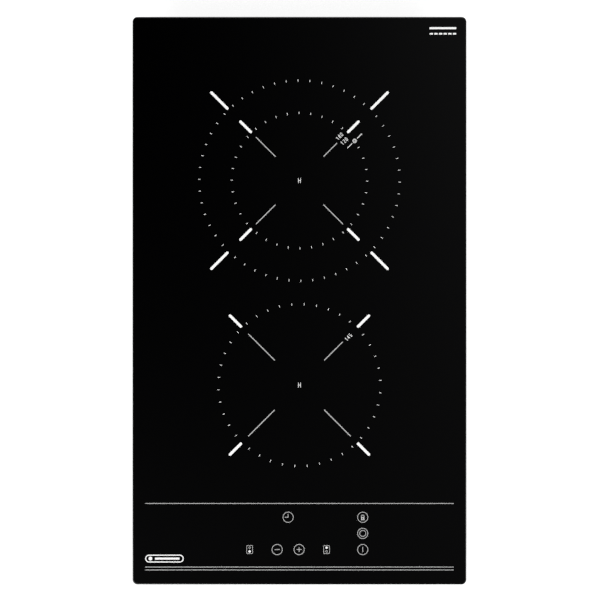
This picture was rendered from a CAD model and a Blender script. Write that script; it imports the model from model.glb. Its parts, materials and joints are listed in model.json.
"""Looks of a built-in domino cooktop: camera, light, materials and finely shaped pieces."""
import json
import math

import bpy
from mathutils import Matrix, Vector


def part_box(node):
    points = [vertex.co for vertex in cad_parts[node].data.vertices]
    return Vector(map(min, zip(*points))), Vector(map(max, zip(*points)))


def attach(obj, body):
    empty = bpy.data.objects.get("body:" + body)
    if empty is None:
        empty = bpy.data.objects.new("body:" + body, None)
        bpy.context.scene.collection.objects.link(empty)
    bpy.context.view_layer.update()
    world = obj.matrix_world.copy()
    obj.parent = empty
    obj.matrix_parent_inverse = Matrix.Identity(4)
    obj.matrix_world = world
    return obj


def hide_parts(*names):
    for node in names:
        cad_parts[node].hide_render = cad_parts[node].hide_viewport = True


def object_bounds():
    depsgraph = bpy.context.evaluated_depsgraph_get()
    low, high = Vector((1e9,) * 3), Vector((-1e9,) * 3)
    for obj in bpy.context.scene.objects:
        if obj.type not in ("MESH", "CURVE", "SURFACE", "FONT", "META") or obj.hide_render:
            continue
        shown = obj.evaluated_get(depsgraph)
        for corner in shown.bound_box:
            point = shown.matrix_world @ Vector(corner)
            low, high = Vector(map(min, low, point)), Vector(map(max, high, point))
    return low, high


MM = 0.001

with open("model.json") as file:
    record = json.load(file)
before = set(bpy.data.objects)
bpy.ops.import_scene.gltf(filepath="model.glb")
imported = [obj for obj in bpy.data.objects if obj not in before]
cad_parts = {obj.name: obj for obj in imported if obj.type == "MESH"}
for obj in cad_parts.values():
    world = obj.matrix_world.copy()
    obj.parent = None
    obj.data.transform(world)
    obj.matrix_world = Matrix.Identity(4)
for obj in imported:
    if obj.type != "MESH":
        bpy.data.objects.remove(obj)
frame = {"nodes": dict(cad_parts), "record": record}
cad_low, cad_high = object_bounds()
nodes = frame["nodes"]
scene = bpy.context.scene


# ---------- camera, floor and light ----------

# The camera looks straight down on the glass from far above it.
LENS = 135.0
SENSOR = 36.0
VIEW_WIDTH = 538.8 * MM
CAMERA_HEIGHT = VIEW_WIDTH * LENS / SENSOR
CAMERA_SHIFT_X = 0.47 * MM
CAMERA_SHIFT_Y = 0.61 * MM

FLOOR_SIZE = 7.0
FLOOR_GREY = 0.5
FLOOR_GLOW = 0.74
BACKDROP = 0.88

# Half widths of the patch of ceiling that the glass mirrors towards the camera, for a height of one.
PATCH_HALF_X = 0.0743
PATCH_HALF_Y = 0.1262
# Directions lower than this don't stretch the patch any further.
PATCH_FLATTEST = 0.2
GLOW_FRONT_LEFT = 0.064
GLOW_RIGHT = 0.068
GLOW_REAR_RIGHT = 0.05
# Ceiling's brightness as (height of the direction, brightness), from the horizon up.
CEILING = [(0.0, 0.11), (0.09, 0.12), (0.17, 0.34), (0.30, 0.28), (0.75, 0.24), (0.90, 0.10), (0.985, 0.0)]


def make_camera():
    data = bpy.data.cameras.new("camera")
    data.lens = LENS
    data.sensor_width = SENSOR
    data.clip_start = 0.05
    data.clip_end = 50.0
    camera = bpy.data.objects.new("camera", data)
    scene.collection.objects.link(camera)
    camera.location = (CAMERA_SHIFT_X, CAMERA_SHIFT_Y, cad_high.z + CAMERA_HEIGHT)
    scene.camera = camera


def make_floor():
    bpy.ops.mesh.primitive_circle_add(vertices=96, radius=FLOOR_SIZE, fill_type="NGON",
                                      location=(0, 0, cad_low.z))
    floor = bpy.context.object
    floor.name = "studio_floor"
    material = bpy.data.materials.new("studio_floor")
    material.use_nodes = True
    shader = material.node_tree.nodes["Principled BSDF"]
    shader.inputs["Base Color"].default_value = (FLOOR_GREY, FLOOR_GREY, FLOOR_GREY, 1)
    shader.inputs["Roughness"].default_value = 0.9
    shader.inputs["Specular IOR Level"].default_value = 0.1
    shader.inputs["Emission Color"].default_value = (1, 1, 1, 1)
    shader.inputs["Emission Strength"].default_value = FLOOR_GLOW
    floor.data.materials.append(material)


def patch_place(calc, value, up, half):
    """Place across the mirrored patch, from 0 to 1."""
    place = calc("MULTIPLY_ADD", calc("DIVIDE", value, up), 0.5 / half)
    place.node.inputs[2].default_value = 0.5
    place.node.use_clamp = True
    return place


def patch_glow(calc, x, y, z):
    """Faint light of the mirrored patch, which grows towards the front left and towards the right."""
    up = calc("MAXIMUM", z, PATCH_FLATTEST)
    across = patch_place(calc, x, up, PATCH_HALF_X)
    forward = patch_place(calc, y, up, -PATCH_HALF_Y)
    front_left = calc("MULTIPLY", calc("POWER", forward, 2.0), calc("SUBTRACT", 1.0, across))
    right = calc("POWER", across, 1.5)
    rear = calc("POWER", calc("SUBTRACT", 1.0, forward), 2.0)
    rear_right = calc("MULTIPLY", calc("POWER", across, 2.0), rear)
    sides = calc("ADD", calc("MULTIPLY", right, GLOW_RIGHT), calc("MULTIPLY", rear_right, GLOW_REAR_RIGHT))
    return calc("ADD", calc("MULTIPLY", front_left, GLOW_FRONT_LEFT), sides)


def make_world():
    """Soft ceiling that the glass mirrors, behind a plain pale backdrop that only the camera sees."""
    world = bpy.data.worlds.new("studio")
    scene.world = world
    world.use_nodes = True
    tree = world.node_tree
    tree.nodes.clear()

    def calc(operation, a, b=None):
        made = tree.nodes.new("ShaderNodeMath")
        made.operation = operation
        for socket, value in zip(made.inputs, (a, b)):
            if isinstance(value, (int, float)):
                socket.default_value = value
            elif value is not None:
                tree.links.new(value, socket)
        return made.outputs[0]

    direction = tree.nodes.new("ShaderNodeTexCoord").outputs["Generated"]
    split = tree.nodes.new("ShaderNodeSeparateXYZ")
    tree.links.new(direction, split.inputs[0])
    x, y, z = split.outputs
    ring = tree.nodes.new("ShaderNodeValToRGB")
    ramp = ring.color_ramp
    while len(ramp.elements) < len(CEILING):
        ramp.elements.new(0.5)
    for element, (place, value) in zip(ramp.elements, CEILING):
        element.position = place
        element.color = (value, value, value, 1)
    tree.links.new(z, ring.inputs[0])
    light = calc("ADD", patch_glow(calc, x, y, z), ring.outputs["Color"])

    seen = tree.nodes.new("ShaderNodeLightPath").outputs["Is Camera Ray"]
    unseen = calc("SUBTRACT", 1.0, seen)
    total = calc("ADD", calc("MULTIPLY", seen, BACKDROP), calc("MULTIPLY", unseen, light))
    background = tree.nodes.new("ShaderNodeBackground")
    tree.links.new(total, background.inputs["Color"])
    output = tree.nodes.new("ShaderNodeOutputWorld")
    tree.links.new(background.outputs[0], output.inputs["Surface"])


def make_softbox(name, azimuth, elevation, distance, size, power):
    """Area light aimed at the origin. Azimuth 0 is the front, and angles are in degrees."""
    data = bpy.data.lights.new(name, "AREA")
    data.shape = "RECTANGLE"
    data.size, data.size_y = size
    data.energy = power
    light = bpy.data.objects.new(name, data)
    scene.collection.objects.link(light)
    a, e = math.radians(azimuth), math.radians(elevation)
    away = Vector((math.sin(a) * math.cos(e), -math.cos(a) * math.cos(e), math.sin(e)))
    light.location = away * distance
    light.rotation_mode = "QUATERNION"
    light.rotation_quaternion = away.to_track_quat("Z", "Y")


def make_studio():
    make_camera()
    make_floor()
    make_world()
    make_softbox("key_light", -38, 52, 2.2, (1.4, 0.9), 27)
    make_softbox("fill_light", 55, 48, 2.4, (1.2, 1.2), 18)
    make_softbox("rear_light", 175, 50, 2.4, (1.6, 0.7), 16)
    scene.view_settings.view_transform = "Standard"
    scene.view_settings.look = "None"


# ---------- materials ----------

class Finish:
    """One procedural material. Textures run in the row frame's metres, so they keep their real scale."""

    def __init__(self, name, base, roughness, metallic=0.0, **sockets):
        self.material = bpy.data.materials.new("look_" + name)
        self.material.use_nodes = True
        self.tree = self.material.node_tree
        self.shader = self.tree.nodes["Principled BSDF"]
        self.set("Base Color", (*base, 1))
        self.set("Roughness", roughness)
        self.set("Metallic", metallic)
        for key, value in sockets.items():
            self.set(key.replace("_", " "), value)
        self.place = self.tree.nodes.new("ShaderNodeTexCoord").outputs["Object"]
        self.normal = None

    def set(self, socket, value):
        self.shader.inputs[socket].default_value = value

    def link(self, a, b):
        self.tree.links.new(a, b)

    def stretched(self, scale):
        mapping = self.tree.nodes.new("ShaderNodeMapping")
        mapping.inputs["Scale"].default_value = scale
        self.link(self.place, mapping.inputs["Vector"])
        return mapping.outputs[0]

    def noise(self, size, detail=3.0, stretch=None, roughness=0.5):
        """Soft grain whose lumps are about size across."""
        made = self.tree.nodes.new("ShaderNodeTexNoise")
        made.inputs["Scale"].default_value = 1.0 / size
        made.inputs["Detail"].default_value = detail
        made.inputs["Roughness"].default_value = roughness
        self.link(self.stretched(stretch) if stretch else self.place, made.inputs["Vector"])
        return made.outputs["Fac"]

    def cells(self, size, output="Color"):
        """Crystals or pores about size across."""
        made = self.tree.nodes.new("ShaderNodeTexVoronoi")
        made.inputs["Scale"].default_value = 1.0 / size
        self.link(self.place, made.inputs["Vector"])
        return made.outputs[output]

    def band(self, value, low, high, a=0.0, b=1.0):
        """Maps low..high of a texture to a..b, clamped."""
        made = self.tree.nodes.new("ShaderNodeMapRange")
        for key, number in zip(("From Min", "From Max", "To Min", "To Max"), (low, high, a, b)):
            made.inputs[key].default_value = number
        self.link(value, made.inputs["Value"])
        return made.outputs[0]

    def mix(self, factor, a, b):
        """Colour between a and b, either of which may be a colour or another mix."""
        made = self.tree.nodes.new("ShaderNodeMix")
        made.data_type = "RGBA"
        self.link(factor, made.inputs["Factor"])
        for socket, value in zip(("A", "B"), (a, b)):
            target = [s for s in made.inputs if s.name == socket and s.type == "RGBA"][0]
            if isinstance(value, tuple):
                target.default_value = (*value, 1)
            else:
                self.link(value, target)
        return [s for s in made.outputs if s.type == "RGBA"][0]

    def colour(self, factor, a, b):
        self.link(self.mix(factor, a, b), self.shader.inputs["Base Color"])

    def rough(self, factor, low, high):
        self.link(self.band(factor, 0.25, 0.75, low, high), self.shader.inputs["Roughness"])

    def bump(self, height, depth, strength):
        made = self.tree.nodes.new("ShaderNodeBump")
        made.inputs["Distance"].default_value = depth
        made.inputs["Strength"].default_value = strength
        self.link(height, made.inputs["Height"])
        if self.normal is not None:
            self.link(self.normal, made.inputs["Normal"])
        self.normal = made.outputs[0]
        self.link(self.normal, self.shader.inputs["Normal"])


def glass_ceramic():
    look = Finish("glass_ceramic", (0.0003, 0.0003, 0.0004), 0.03, IOR=1.52)
    look.rough(look.noise(45 * MM, 4), 0.02, 0.045)
    return look


def enamel(name, base, dark, pale):
    """Print fired onto the glass, a little uneven in brightness."""
    look = Finish(name, base, 0.45, IOR=1.5)
    look.colour(look.band(look.noise(0.5 * MM, 3), 0.3, 0.7), dark, pale)
    look.rough(look.noise(0.3 * MM, 2), 0.38, 0.55)
    look.bump(look.noise(0.12 * MM, 2), 0.008 * MM, 0.5)
    return look


def white_print():
    return enamel("white_print", (0.93, 0.93, 0.92), (0.9, 0.9, 0.895), (0.96, 0.96, 0.955))


def fine_print():
    return enamel("fine_print", (0.47, 0.47, 0.47), (0.455, 0.455, 0.452), (0.485, 0.485, 0.482))


def rim_foam():
    look = Finish("rim_foam", (0.03, 0.031, 0.034), 0.9)
    pores = look.cells(0.45 * MM, "Distance")
    look.colour(look.band(pores, 0.1, 0.6), (0.012, 0.012, 0.014), (0.05, 0.051, 0.055))
    look.bump(pores, 0.12 * MM, 0.7)
    look.bump(look.noise(3 * MM, 2), 0.15 * MM, 0.5)
    return look


def silicone():
    look = Finish("silicone", (0.06, 0.06, 0.065), 0.35)
    look.colour(look.band(look.noise(5 * MM), 0.3, 0.7), (0.05, 0.05, 0.055), (0.075, 0.075, 0.08))
    look.bump(look.noise(4 * MM, 2), 0.2 * MM, 0.6)
    return look


def galvanised(name, light=1.0):
    """Zinc-coated sheet: crystals of differing brightness, rolling marks and fine grain."""
    look = Finish(name, (0.4, 0.4, 0.41), 0.35, 1.0)
    crystal = look.cells(7 * MM)
    flecks = look.cells(2.2 * MM)
    rolled = look.noise(0.5 * MM, 3, stretch=(1.0, 0.03, 1.0))
    dark = tuple(light * v for v in (0.3, 0.305, 0.315))
    pale = tuple(light * v for v in (0.43, 0.435, 0.445))
    spangle = look.mix(look.band(crystal, 0.15, 0.85), dark, pale)
    fine = look.mix(look.band(flecks, 0.1, 0.9), tuple(0.9 * v for v in dark), pale)
    half = look.mix(look.band(look.noise(12 * MM, 2), 0.35, 0.65, 0.15, 0.6), spangle, fine)
    look.link(half, look.shader.inputs["Base Color"])
    look.rough(look.band(crystal, 0.0, 1.0), 0.26, 0.44)
    look.bump(rolled, 0.01 * MM, 0.5)
    look.bump(look.noise(0.18 * MM, 2), 0.01 * MM, 0.4)
    return look


def plated_steel(name, tint, low=0.24, high=0.42):
    look = Finish(name, tint, 0.3, 1.0)
    cloud = look.noise(2.2 * MM, 4)
    look.colour(look.band(cloud, 0.3, 0.7), tuple(0.8 * v for v in tint), tuple(1.15 * v for v in tint))
    look.rough(look.noise(0.9 * MM, 4), low, high)
    look.bump(look.noise(0.25 * MM, 2), 0.008 * MM, 0.5)
    return look


def black_steel():
    look = Finish("black_screws", (0.045, 0.045, 0.048), 0.4, 0.85)
    worn = look.band(look.noise(0.8 * MM, 5), 0.56, 0.72)
    look.colour(worn, (0.04, 0.04, 0.043), (0.2, 0.2, 0.2))
    look.rough(look.noise(0.5 * MM, 3), 0.32, 0.5)
    look.bump(look.noise(0.2 * MM, 2), 0.008 * MM, 0.5)
    return look


def moulded(name, base, low=0.42, high=0.6):
    """Moulded plastic with a fine spark-eroded texture and slight flow marks."""
    look = Finish(name, base, 0.5)
    flow = look.noise(9 * MM, 3)
    look.colour(look.band(flow, 0.3, 0.7), tuple(0.86 * v for v in base), tuple(1.12 * v for v in base))
    look.rough(look.noise(1.4 * MM, 3), low, high)
    look.bump(look.noise(0.35 * MM, 2), 0.02 * MM, 0.7)
    return look


def rubber(name):
    base = (0.022, 0.022, 0.024)
    look = Finish(name, base, 0.75)
    bloom = look.noise(4 * MM, 4)
    look.colour(look.band(bloom, 0.35, 0.75), base, tuple(1.7 * v for v in base))
    look.rough(look.noise(1.2 * MM, 3), 0.6, 0.82)
    look.bump(look.noise(0.3 * MM, 2), 0.02 * MM, 0.6)
    return look


def insulation_board():
    look = Finish("heater_insulation", (0.8, 0.77, 0.7), 0.95)
    grit = look.noise(1.1 * MM, 5, roughness=0.7)
    look.colour(look.band(look.noise(18 * MM, 3), 0.35, 0.7), (0.83, 0.81, 0.75), (0.66, 0.6, 0.5))
    look.bump(grit, 0.3 * MM, 0.8)
    return look


def oxidised_ribbon():
    look = Finish("heating_ribbon", (0.14, 0.11, 0.1), 0.5, 0.8)
    look.colour(look.band(look.noise(6 * MM, 3), 0.3, 0.7), (0.1, 0.085, 0.09), (0.23, 0.16, 0.11))
    look.rough(look.noise(1.5 * MM, 3), 0.4, 0.65)
    return look


def steatite():
    base = (0.8, 0.78, 0.72)
    look = Finish("steatite", base, 0.55)
    look.colour(look.band(look.noise(3 * MM, 4), 0.3, 0.7), tuple(0.9 * v for v in base), base)
    look.rough(look.noise(0.8 * MM, 3), 0.45, 0.65)
    look.bump(look.noise(0.3 * MM, 3), 0.02 * MM, 0.6)
    return look


def quartz_rod():
    look = Finish("limiter_rod", (0.7, 0.68, 0.63), 0.12, IOR=1.46)
    look.colour(look.band(look.noise(8 * MM, 2), 0.3, 0.7), (0.62, 0.6, 0.56), (0.78, 0.76, 0.72))
    look.set("Coat Weight", 0.6)
    return look


def solder_mask():
    """Green lacquer over copper tracks."""
    look = Finish("circuit_board", (0.012, 0.075, 0.03), 0.28)
    tracks = look.tree.nodes.new("ShaderNodeTexBrick")
    tracks.inputs["Scale"].default_value = 1.0 / (14 * MM)
    tracks.inputs["Mortar Size"].default_value = 0.035
    tracks.inputs["Mortar Smooth"].default_value = 0.0
    look.link(look.place, tracks.inputs["Vector"])
    lines = tracks.outputs["Fac"]
    look.colour(lines, (0.01, 0.065, 0.026), (0.03, 0.16, 0.06))
    look.bump(lines, 0.03 * MM, 0.6)
    look.rough(look.noise(2 * MM, 2), 0.2, 0.35)
    return look


def display_lens():
    look = Finish("display_lens", (0.02, 0.004, 0.005), 0.1, IOR=1.5)
    look.set("Coat Weight", 0.5)
    look.rough(look.noise(6 * MM, 3), 0.06, 0.16)
    return look


def varnished_core():
    look = Finish("transformer_core", (0.1, 0.075, 0.055), 0.4, 0.3)
    sheets = look.noise(0.5 * MM, 1, stretch=(0.02, 1.0, 0.02))
    look.colour(look.band(sheets, 0.4, 0.6), (0.07, 0.05, 0.035), (0.16, 0.13, 0.1))
    look.bump(sheets, 0.05 * MM, 0.7)
    return look


def flat_cable():
    look = Finish("ribbon_cable", (0.5, 0.48, 0.45), 0.45)
    cores = look.noise(1.0 * MM, 0, stretch=(1.0, 0.02, 0.02))
    look.colour(look.band(cores, 0.4, 0.6), (0.4, 0.38, 0.35), (0.58, 0.56, 0.52))
    look.bump(cores, 0.15 * MM, 0.8)
    return look


FINISHES = {
    "glass_ceramic": glass_ceramic,
    "white_print": white_print,
    "fine_print": fine_print,
    "rim_foam": rim_foam,
    "silicone": silicone,
    "galvanised_frame": lambda: galvanised("galvanised_frame"),
    "galvanised_tray": lambda: galvanised("galvanised_tray", 0.92),
    "galvanised_shield": lambda: galvanised("galvanised_shield", 1.1),
    "zinc_screws": lambda: plated_steel("zinc_screws", (0.52, 0.52, 0.5)),
    "heater_dish": lambda: plated_steel("heater_dish", (0.5, 0.5, 0.51), 0.3, 0.5),
    "heater_insulation": insulation_board,
    "heating_ribbon": oxidised_ribbon,
    "limiter_rod": quartz_rod,
    "steatite": steatite,
    "spring_steel": lambda: plated_steel("spring_steel", (0.46, 0.46, 0.47)),
    "carrier_plastic": lambda: moulded("carrier_plastic", (0.55, 0.55, 0.52)),
    "circuit_board": solder_mask,
    "contact_spring": lambda: plated_steel("contact_spring", (0.72, 0.52, 0.22), 0.2, 0.34),
    "display_lens": display_lens,
    "connector_plastic": lambda: moulded("connector_plastic", (0.72, 0.71, 0.67)),
    "relay_case": lambda: moulded("relay_case", (0.022, 0.022, 0.025), 0.3, 0.45),
    "transformer_core": varnished_core,
    "capacitor_case": lambda: moulded("capacitor_case", (0.02, 0.035, 0.1), 0.2, 0.3),
    "ribbon_cable": flat_cable,
    "heat_wire": lambda: moulded("heat_wire", (0.5, 0.12, 0.02), 0.4, 0.5),
    "supply_wire": lambda: moulded("supply_wire", (0.03, 0.1, 0.35), 0.35, 0.45),
    "rubber_grommet": lambda: rubber("rubber_grommet"),
    "box_plastic": lambda: moulded("box_plastic", (0.035, 0.035, 0.038)),
    "block_plastic": lambda: moulded("block_plastic", (0.7, 0.68, 0.6)),
    "brass_screws": lambda: plated_steel("brass_screws", (0.62, 0.46, 0.2)),
    "black_screws": black_steel,
    "clamp_steel": lambda: plated_steel("clamp_steel", (0.5, 0.505, 0.51), 0.26, 0.4),
    "pad_rubber": lambda: rubber("pad_rubber"),
}
looks = {}


def look_of(slot):
    if slot not in looks:
        looks[slot] = FINISHES[slot]().material
    return looks[slot]


# Edge radius of each slot, in millimetres, where it isn't the usual one.
EDGE_RADIUS = {
    "glass_ceramic": 0.6,
    "white_print": 0.0,
    "fine_print": 0.0,
    "rim_foam": 0.3,
    "silicone": 0.2,
    "heating_ribbon": 0.05,
    "heater_insulation": 0.5,
    "box_plastic": 0.35,
    "block_plastic": 0.3,
    "relay_case": 0.5,
    "transformer_core": 0.3,
    "pad_rubber": 0.4,
    "display_lens": 0.3,
}
USUAL_RADIUS = 0.18


def soften_edges(node, radius):
    """Joins the split corners of a CAD mesh, then rounds its sharp edges."""
    weld = node.modifiers.new("weld", "WELD")
    weld.merge_threshold = 0.001 * MM
    flat = node.modifiers.new("flat_faces", "DECIMATE")
    flat.decimate_type = "DISSOLVE"
    flat.angle_limit = math.radians(0.2)
    bevel = node.modifiers.new("edges", "BEVEL")
    bevel.width = radius
    bevel.segments = 2
    bevel.limit_method = "ANGLE"
    bevel.angle_limit = math.radians(35)
    bevel.miter_outer = "MITER_ARC"
    bevel.harden_normals = True


def dress_cad_nodes():
    for part in frame["record"]["subparts"]:
        node = nodes[part["node"]]
        slot = part["material_slot"]
        node.data.materials.clear()
        node.data.materials.append(look_of(slot))
        radius = EDGE_RADIUS.get(slot, USUAL_RADIUS) * MM
        if radius > 0:
            soften_edges(node, radius)


# ---------- mesh building ----------

CORNER_STEPS = 10
BEND_STEPS = 5
SHARP_ANGLE = 40.0


def outline(half_x, half_y, radius, centre_y=0.0, xs=(), ys=()):
    """Points of a round-cornered rectangle, anticlockwise, with extra ones at xs and ys on its sides."""
    straight = [
        [(x, -half_y) for x in sorted(xs)],
        [(half_x, y - centre_y) for y in sorted(ys)],
        [(x, half_y) for x in sorted(xs, reverse=True)],
        [(-half_x, y - centre_y) for y in sorted(ys, reverse=True)],
    ]
    corners = [(1, -1, -90), (1, 1, 0), (-1, 1, 90), (-1, -1, 180)]
    points = []
    for side, (sx, sy, start) in zip(straight, corners):
        points += side
        for step in range(CORNER_STEPS + 1):
            a = math.radians(start + 90 * step / CORNER_STEPS)
            x = sx * (half_x - radius) + radius * math.cos(a)
            y = sy * (half_y - radius) + radius * math.sin(a)
            points.append((x, y))
    return [(x, y + centre_y) for x, y in points]


def bend(centre, radius, start, end):
    """Points of an arc in a section, from start to end in degrees, as (inset, height)."""
    angles = [math.radians(start + (end - start) * i / BEND_STEPS) for i in range(BEND_STEPS + 1)]
    return [(centre[0] + radius * math.cos(a), centre[1] + radius * math.sin(a)) for a in angles]


def bridge(faces, a, b, count):
    """Quads between two rings of vertices that start at a and b. They face outwards if b is above a."""
    for k in range(count):
        n = (k + 1) % count
        faces.append((a + k, a + n, b + n, b + k))


def make_piece(name, verts, faces, slot, body, replaced):
    mesh = bpy.data.meshes.new(name)
    mesh.from_pydata(verts, [], faces)
    mesh.validate()
    mesh.shade_smooth()
    mesh.set_sharp_from_angle(angle=math.radians(SHARP_ANGLE))
    piece = bpy.data.objects.new(name, mesh)
    scene.collection.objects.link(piece)
    mesh.materials.append(look_of(slot))
    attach(piece, body)
    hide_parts(*replaced)
    return piece


def loft_ring(sections, radius_of, half_x, half_y):
    """Closed ring whose section is a closed loop of (inset, height) points."""
    verts, faces = [], []
    for inset, height in sections:
        ring = outline(half_x - inset, half_y - inset, radius_of(inset))
        verts += [(x, y, height) for x, y in ring]
    count = len(ring)
    total = len(sections)
    for i in range(total):
        bridge(faces, i * count, (i + 1) % total * count, count)
    return verts, faces


# ---------- glass and seal ----------

GROUND = 0.9 * MM
FLAT_RIM = 0.5 * MM
GLASS_CORNER = 4.5 * MM
SEAL_WIDTH = 8 * MM
SEAL_CORNER = 4 * MM
SEAL_LEAST_CORNER = 0.4 * MM
SEAL_BULGE = 0.35 * MM


def glass_section(bottom, top):
    """Ground pencil edge as (inset, height), with a flat strip at both ends that keeps the faces plane."""
    inner = GROUND + FLAT_RIM
    lower = bend((GROUND, bottom + GROUND), GROUND, 270, 180)
    upper = bend((GROUND, top - GROUND), GROUND, 180, 90)
    return [(inner, bottom)] + lower + upper + [(inner, top)]


def glass_plate():
    low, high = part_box("glass_plate")
    half_x = high.x
    half_y = high.y
    sections = glass_section(low.z, high.z)
    verts, faces = [], []
    for inset, height in sections:
        ring = outline(half_x - inset, half_y - inset, GLASS_CORNER - inset)
        verts += [(x, y, height) for x, y in ring]
    count = len(ring)
    for i in range(len(sections) - 1):
        bridge(faces, i * count, (i + 1) * count, count)
    faces.append(tuple(reversed(range(count))))
    faces.append(tuple(range((len(sections) - 1) * count, len(sections) * count)))
    make_piece("ground_glass_plate", verts, faces, "glass_ceramic", "hob", ["glass_plate"])


def rim_seal():
    """Foam strip, a little squeezed, so that its free sides bulge."""
    low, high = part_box("perimeter_seal")
    middle = (low.z + high.z) / 2
    half = (high.z - low.z) / 2
    outer = []
    inner = []
    for i in range(7):
        a = math.radians(-90 + 30 * i)
        bulge = SEAL_BULGE * (1 - math.cos(a))
        outer.append((bulge, middle + half * math.sin(a)))
        inner.append((SEAL_WIDTH - bulge, middle - half * math.sin(a)))

    def radius_of(inset):
        return max(SEAL_CORNER - inset, SEAL_LEAST_CORNER)

    verts, faces = loft_ring(outer + inner, radius_of, high.x, high.y)
    make_piece("rim_seal_strip", verts, faces, "rim_foam", "hob", ["perimeter_seal"])


# ---------- folded frame and drawn tray ----------

SHEET = 0.8 * MM
BEND = 1.6 * MM
GLUE_FLANGE = 10 * MM
FRAME_CORNER = 3 * MM
FRAME_LEAST_CORNER = 0.3 * MM
TRAY_FLANGE = 7 * MM
TRAY_CORNER = 4 * MM
TRAY_LEAST_CORNER = 0.5 * MM
FLOOR_MARGIN = 6 * MM


def frame_opening():
    """Half sizes and centre of the hole in the frame's shelf, which follows the tray's walls."""
    low, high = tray_walls()
    return high.x - SHEET, (high.y - low.y) / 2 - SHEET, (high.y + low.y) / 2


def tray_walls():
    """Outer corners of the tray's walls, inside its flange."""
    low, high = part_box("bottom_tray")
    flange = Vector((TRAY_FLANGE, TRAY_FLANGE, 0))
    return low + flange, high - flange


def support_frame():
    """Folded sheet as a closed section: down the outside, round the shelf's hole and up the inside."""
    low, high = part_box("support_frame")
    hole_x, hole_y, hole_cy = frame_opening()
    top, bottom = high.z, low.z
    out = [(GLUE_FLANGE, top)]
    out += bend((BEND, top - BEND), BEND, 90, 180)
    out += bend((BEND, bottom + BEND), BEND, 180, 270)
    inside = bend((BEND, bottom + BEND), BEND - SHEET, 270, 180)
    inside += bend((BEND, top - BEND), BEND - SHEET, 180, 90)
    inside += [(GLUE_FLANGE, top - SHEET)]
    verts, faces = [], []

    def add_ring(half_x, half_y, radius, centre_y, height):
        ring = outline(half_x, half_y, radius, centre_y)
        verts.extend((x, y, height) for x, y in ring)
        return len(ring)

    def add_inset(inset, height):
        radius = max(FRAME_CORNER - inset, FRAME_LEAST_CORNER)
        add_ring(high.x - inset, high.y - inset, radius, 0.0, height)

    for inset, height in out:
        add_inset(inset, height)
    add_ring(hole_x, hole_y, FRAME_CORNER, hole_cy, bottom)
    count = add_ring(hole_x, hole_y, FRAME_CORNER, hole_cy, bottom + SHEET)
    for inset, height in inside:
        add_inset(inset, height)
    # The section runs down the outside first, so each ring is bridged from the next one.
    total = len(verts) // count
    for i in range(total):
        bridge(faces, (i + 1) % total * count, i * count, count)
    make_piece("folded_support_frame", verts, faces, "galvanised_frame", "hob", ["support_frame"])


RIB_X = 80 * MM
RIB_HALF = 5 * MM
RIB_Y = (-140 * MM, 190 * MM)
CROSS_RIB = ((-60 * MM, 60 * MM), (2 * MM, 12 * MM))
RIB_SLOPE = 1.2 * MM
FLOOR_VENT_X = [(-66 + 12 * i) * MM for i in range(12)]
FLOOR_VENT_Y = [-208 * MM, -184 * MM]
FLOOR_VENT = (1.5 * MM, 9 * MM)
SIDE_VENT_Y = [(-214.5 + 8 * i) * MM for i in range(5)]
SIDE_VENT_Z = (-38 * MM, -24 * MM)
SIDE_VENT_HALF = 1.5 * MM


def ribs():
    """Each rib of the tray's floor as ((x0, x1), (y0, y1))."""
    long = [((x - RIB_HALF, x + RIB_HALF), RIB_Y) for x in (-RIB_X, RIB_X)]
    return long + [CROSS_RIB]


def rib_height(x, y):
    """How far the floor is pressed up at a point."""
    height = 0.0
    for (x0, x1), (y0, y1) in ribs():
        depth = min(x - x0, x1 - x, y - y0, y1 - y) / RIB_SLOPE
        t = max(0.0, min(1.0, depth))
        height = max(height, SHEET * t * t * (3 - 2 * t))
    return height


def floor_lines(half, centre):
    """Places of the floor's grid lines along X and along Y, with one at every edge of a slot or a slope."""
    xs = [s * half[0] for s in (-1, 1)]
    ys = [centre + s * half[1] for s in (-1, 1)]
    for (x0, x1), (y0, y1) in ribs():
        for part in (0.0, 0.33, 0.67, 1.0):
            xs += [x0 + part * RIB_SLOPE, x1 - part * RIB_SLOPE]
            ys += [y0 + part * RIB_SLOPE, y1 - part * RIB_SLOPE]
    for x in FLOOR_VENT_X:
        xs += [x - FLOOR_VENT[0], x + FLOOR_VENT[0]]
    for y in FLOOR_VENT_Y:
        ys += [y - FLOOR_VENT[1], y + FLOOR_VENT[1]]
    for y in SIDE_VENT_Y:
        ys += [y - SIDE_VENT_HALF, y + SIDE_VENT_HALF]
    return tidy_lines(xs), tidy_lines(ys)


def tidy_lines(places):
    """Sorted places, without any that all but coincide."""
    kept = []
    for place in sorted(places):
        if not kept or place - kept[-1] > 0.01 * MM:
            kept.append(place)
    return kept


def in_slot(x, y, xs, ys, half):
    return any(abs(x - a) < half[0] for a in xs) and any(abs(y - b) < half[1] for b in ys)


def tray_floor(bottom, xs, ys):
    """Grid of the tray's floor, with its ribs pressed up and its slots left open."""
    verts = [(x, y, bottom + rib_height(x, y)) for y in ys for x in xs]
    faces = []
    wide = len(xs)
    for j in range(len(ys) - 1):
        for i in range(wide - 1):
            middle = ((xs[i] + xs[i + 1]) / 2, (ys[j] + ys[j + 1]) / 2)
            if not in_slot(*middle, FLOOR_VENT_X, FLOOR_VENT_Y, FLOOR_VENT):
                a = j * wide + i
                faces.append((a, a + wide, a + 1 + wide, a + 1))
    return verts, faces


def grid_rim(wide, tall):
    """Vertices round a grid, with each corner repeated for the steps of the corner's arc."""
    last = (tall - 1) * wide
    repeats = CORNER_STEPS + 1
    rim = list(range(1, wide - 1)) + [wide - 1] * repeats
    rim += [j * wide + wide - 1 for j in range(1, tall - 1)] + [last + wide - 1] * repeats
    rim += [last + i for i in range(wide - 2, 0, -1)] + [last] * repeats
    return rim + [j * wide for j in range(tall - 2, 0, -1)] + [0] * repeats


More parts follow.
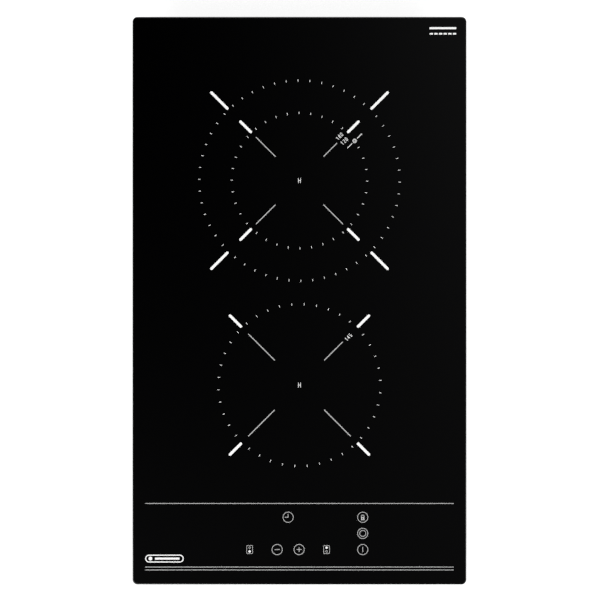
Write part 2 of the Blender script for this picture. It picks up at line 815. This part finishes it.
def tray_section(bottom, top):
    """Wall and flange of the tray as (inset, height), from the floor up."""
    section = bend((BEND, bottom + BEND), BEND, 270, 180)
    section += [(0.0, z) for z in SIDE_VENT_Z]
    section += bend((-BEND, top - SHEET - BEND), BEND, 0, 90)
    return section + [(-TRAY_FLANGE, top - SHEET)]


def in_side_slot(a, b, half_x):
    """Whether the stretch of wall between two points of a ring is open."""
    on_side = abs(a[0]) > half_x - 0.1 * MM
    return on_side and in_slot(0, (a[1] + b[1]) / 2, [0], SIDE_VENT_Y, (1, SIDE_VENT_HALF))


def bottom_tray():
    """Drawn tray as one skin with real slots and pressed ribs, thickened inwards."""
    low, high = tray_walls()
    half_x, half_y, centre_y = high.x, (high.y - low.y) / 2, (high.y + low.y) / 2
    xs, ys = floor_lines((half_x - FLOOR_MARGIN, half_y - FLOOR_MARGIN), centre_y)
    verts, faces = tray_floor(low.z, xs, ys)
    previous = grid_rim(len(xs), len(ys))
    count = len(previous)
    section = tray_section(low.z, high.z)
    slotted = section.index((0.0, SIDE_VENT_Z[0])) + 1
    for level, (inset, height) in enumerate(section):
        radius = max(TRAY_CORNER - inset, TRAY_LEAST_CORNER)
        ring = outline(half_x - inset, half_y - inset, radius, centre_y, xs[1:-1], ys[1:-1])
        start = len(verts)
        verts += [(x, y, height) for x, y in ring]
        for k in range(count):
            n = (k + 1) % count
            if level == slotted and in_side_slot(ring[k], ring[n], half_x):
                continue
            quad = [previous[k], previous[n], start + n, start + k]
            faces.append(tuple(dict.fromkeys(quad)))
        previous = [start + k for k in range(count)]
    tray = make_piece("drawn_bottom_tray", verts, faces, "galvanised_tray", "hob", ["bottom_tray"])
    skin = tray.modifiers.new("sheet", "SOLIDIFY")
    skin.thickness = SHEET
    skin.offset = -1.0
    skin.use_even_offset = True


# ---------- clamping screws ----------

PITCH = 0.7 * MM
ROWS_A_TURN = 8
THREAD_STEPS = 28
THREAD_RADIUS = 2 * MM
THREAD_DEPTH = 0.38 * MM
# The thread's depth, from 0 to 1, is FLANK * d - CREST, where d runs from 0 at the crest to 1 in the valley.
FLANK = 2.6
CREST = 0.8
# The thread runs out over one part in this many of the rod, at each end.
RUNOUT = 12
HEAD_HEIGHT = 2.8 * MM
HEAD_EDGE = 0.25 * MM
EDGE_STEP = 0.08 * MM
HALF_HEAD_STEPS = 16
SLOT_DEPTH = 1.4 * MM
SLOT_HALF = 0.5 * MM
ROD_IN_HEAD = 0.2 * MM
TIP_RADIUS = 1.5 * MM
TIP_HEIGHT = 1.5 * MM
TIP_EDGE = 0.3 * MM
TIP_IN_ROD = 1 * MM
ROD_SHORT_OF_TIP = 0.05 * MM


def threaded_rod(radius, z0, z1):
    """Rod round the Z axis with a real screw thread, which runs out at both ends."""
    verts, faces = [], []
    rows = int((z1 - z0) / PITCH * ROWS_A_TURN)
    for row in range(rows + 1):
        z = z0 + (z1 - z0) * row / rows
        runout = min(1.0, RUNOUT * row / rows, RUNOUT * (rows - row) / rows)
        for k in range(THREAD_STEPS):
            a = math.tau * k / THREAD_STEPS
            phase = (z / PITCH - k / THREAD_STEPS) % 1.0
            valley = min(1.0, max(0.0, FLANK * abs(2 * phase - 1) - CREST)) * runout
            r = radius - THREAD_DEPTH * valley
            verts.append((r * math.cos(a), r * math.sin(a), z))
    for row in range(rows):
        bridge(faces, row * THREAD_STEPS, (row + 1) * THREAD_STEPS, THREAD_STEPS)
    faces.append(tuple(reversed(range(THREAD_STEPS))))
    faces.append(tuple(range(rows * THREAD_STEPS, (rows + 1) * THREAD_STEPS)))
    return verts, faces


def turned(verts, faces, points, profile):
    """Adds a solid whose outline is points, grown or shrunk to each (height, shrink) of the profile."""
    start = len(verts)
    middle = sum((Vector(p) for p in points), Vector((0, 0))) / len(points)
    for height, shrink in profile:
        for p in points:
            away = Vector(p) - middle
            at = middle + away * (1 - shrink / away.length)
            verts.append((at.x, at.y, height))
    count = len(points)
    for i in range(len(profile) - 1):
        bridge(faces, start + i * count, start + (i + 1) * count, count)
    faces.append(tuple(start + k for k in reversed(range(count))))
    faces.append(tuple(start + (len(profile) - 1) * count + k for k in range(count)))


def circle_points(radius, steps=36):
    return [(radius * math.cos(math.tau * k / steps), radius * math.sin(math.tau * k / steps))
            for k in range(steps)]


def half_head(radius, side):
    """Half of a slotted head, seen along Z."""
    limit = math.asin(SLOT_HALF / radius)
    angles = [limit + (math.pi - 2 * limit) * i / HALF_HEAD_STEPS for i in range(HALF_HEAD_STEPS + 1)]
    if side < 0:
        angles = [a + math.pi for a in angles]
    return [(radius * math.cos(a), radius * math.sin(a)) for a in angles]


def clamp_screw(place):
    """Slotted screw with its thread and the tip that turns in the pad."""
    node = place + "_clamp_screw"
    low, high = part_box(node)
    head_r = (high.x - low.x) / 2
    middle = Vector(((low.x + high.x) / 2, (low.y + high.y) / 2, 0))
    top = low.z + HEAD_HEIGHT
    slot = low.z + SLOT_DEPTH
    tip = high.z - TIP_HEIGHT
    verts, faces = threaded_rod(THREAD_RADIUS, top - ROD_IN_HEAD, tip - ROD_SHORT_OF_TIP)
    turned(verts, faces, circle_points(head_r),
           [(slot, 0), (top - HEAD_EDGE, 0), (top - EDGE_STEP, EDGE_STEP), (top, HEAD_EDGE)])
    for side in (1, -1):
        turned(verts, faces, half_head(head_r, side),
               [(low.z, HEAD_EDGE), (low.z + EDGE_STEP, EDGE_STEP), (low.z + HEAD_EDGE, 0), (slot, 0)])
    turned(verts, faces, circle_points(TIP_RADIUS, 24),
           [(tip - TIP_IN_ROD, 0), (high.z - TIP_EDGE, 0), (high.z, TIP_EDGE)])
    verts = [Vector(v) + middle for v in verts]
    make_piece("threaded_screw_" + place, verts, faces, "black_screws", "clamp_screw_" + place, [node])


def make_visual():
    glass_plate()
    rim_seal()
    support_frame()
    bottom_tray()
    for place in ("front_left", "front_right", "rear_left", "rear_right"):
        clamp_screw(place)


# ---------- finish ----------

make_studio()
dress_cad_nodes()
make_visual()
